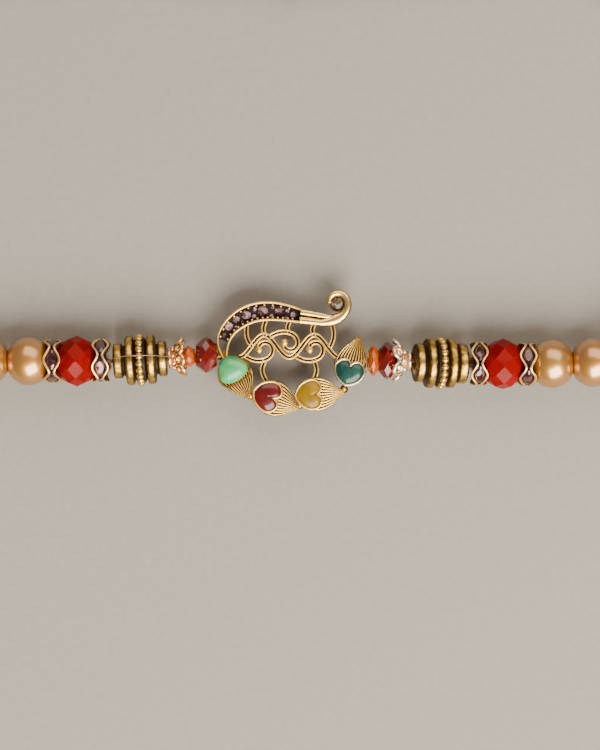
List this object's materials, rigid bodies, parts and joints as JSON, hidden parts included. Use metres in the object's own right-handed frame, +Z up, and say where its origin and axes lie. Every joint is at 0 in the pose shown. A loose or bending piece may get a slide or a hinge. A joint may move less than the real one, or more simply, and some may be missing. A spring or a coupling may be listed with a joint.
{
  "type": "rakhi thread bracelet",
  "caption": "Rakhi bracelet: a pierced gold pendant with enamelled hearts between strings of faceted, barrel and pearl beads, closed into a loop by two cords and a knot",
  "frame": {"origin": "on the surface that the rakhi lies on, straight under the middle of the pendant, where the string's line crosses it", "axes": "+X along the front run of the string towards the picture's right, +Y across it towards the top of the picture and the side where the loop closes, +Z up from the surface"},
  "size_m": [0.1335, 0.0719, 0.0086],
  "materials": {
    "antique_gold": "antiqued gold plating, polished on the high parts",
    "antique_brass": "oxidised brass, dark in the grooves",
    "rose_gold": "polished rose-gold plating",
    "pale_rose_gold": "polished pale rose-gold plating",
    "pale_gold": "polished pale gold plating",
    "aubergine_stone": "cut glass with a foiled back",
    "mauve_stone": "cut glass with a foiled back",
    "clear_stone": "cut glass with a foiled back",
    "enamel_green": "glossy domed enamel",
    "enamel_red": "glossy domed enamel",
    "enamel_yellow": "glossy domed enamel",
    "enamel_teal": "glossy domed enamel",
    "red_crystal": "clear faceted glass",
    "orange_crystal": "clear faceted glass",
    "scarlet_glass": "opaque polished faceted glass",
    "champagne_pearl": "pearl coating with a soft lustre",
    "stringing_thread": "waxed thread",
    "tie_cord": "twisted cotton cord"
  },
  "bodies": {
    "root": {"barrel_left": "antique_brass", "barrel_right": "antique_brass", "channel_stones": "mauve_stone", "curl_stone": "clear_stone", "enamel_green": "enamel_green", "enamel_red": "enamel_red", "enamel_teal": "enamel_teal", "enamel_yellow": "enamel_yellow", "flower_cap_left": "rose_gold", "flower_cap_right": "pale_rose_gold", "orange_bead_left": "orange_crystal", "orange_bead_right": "orange_crystal", "pearl_left_1": "champagne_pearl", "pearl_left_2": "champagne_pearl", "pearl_left_3": "champagne_pearl", "pearl_left_4": "champagne_pearl", "pearl_left_5": "champagne_pearl", "pearl_left_6": "champagne_pearl", "pearl_right_1": "champagne_pearl", "pearl_right_2": "champagne_pearl", "pearl_right_3": "champagne_pearl", "pearl_right_4": "champagne_pearl", "pearl_right_5": "champagne_pearl", "pearl_right_6": "champagne_pearl", "pendant_frame": "antique_gold", "red_bead_left": "scarlet_glass", "red_bead_right": "scarlet_glass", "red_crystal_left": "red_crystal", "red_crystal_right": "red_crystal", "rondelle_left_inner": "pale_gold", "rondelle_left_inner_stones": "aubergine_stone", "rondelle_left_outer": "pale_gold", "rondelle_left_outer_stones": "aubergine_stone", "rondelle_right_inner": "pale_gold", "rondelle_right_inner_stones": "aubergine_stone", "rondelle_right_outer": "pale_gold", "rondelle_right_outer_stones": "aubergine_stone", "thread_left": "stringing_thread", "thread_right": "stringing_thread", "tie_cord_left": "tie_cord", "tie_cord_right": "tie_cord", "tie_knot": "tie_cord"}
  },
  "joints": []
}
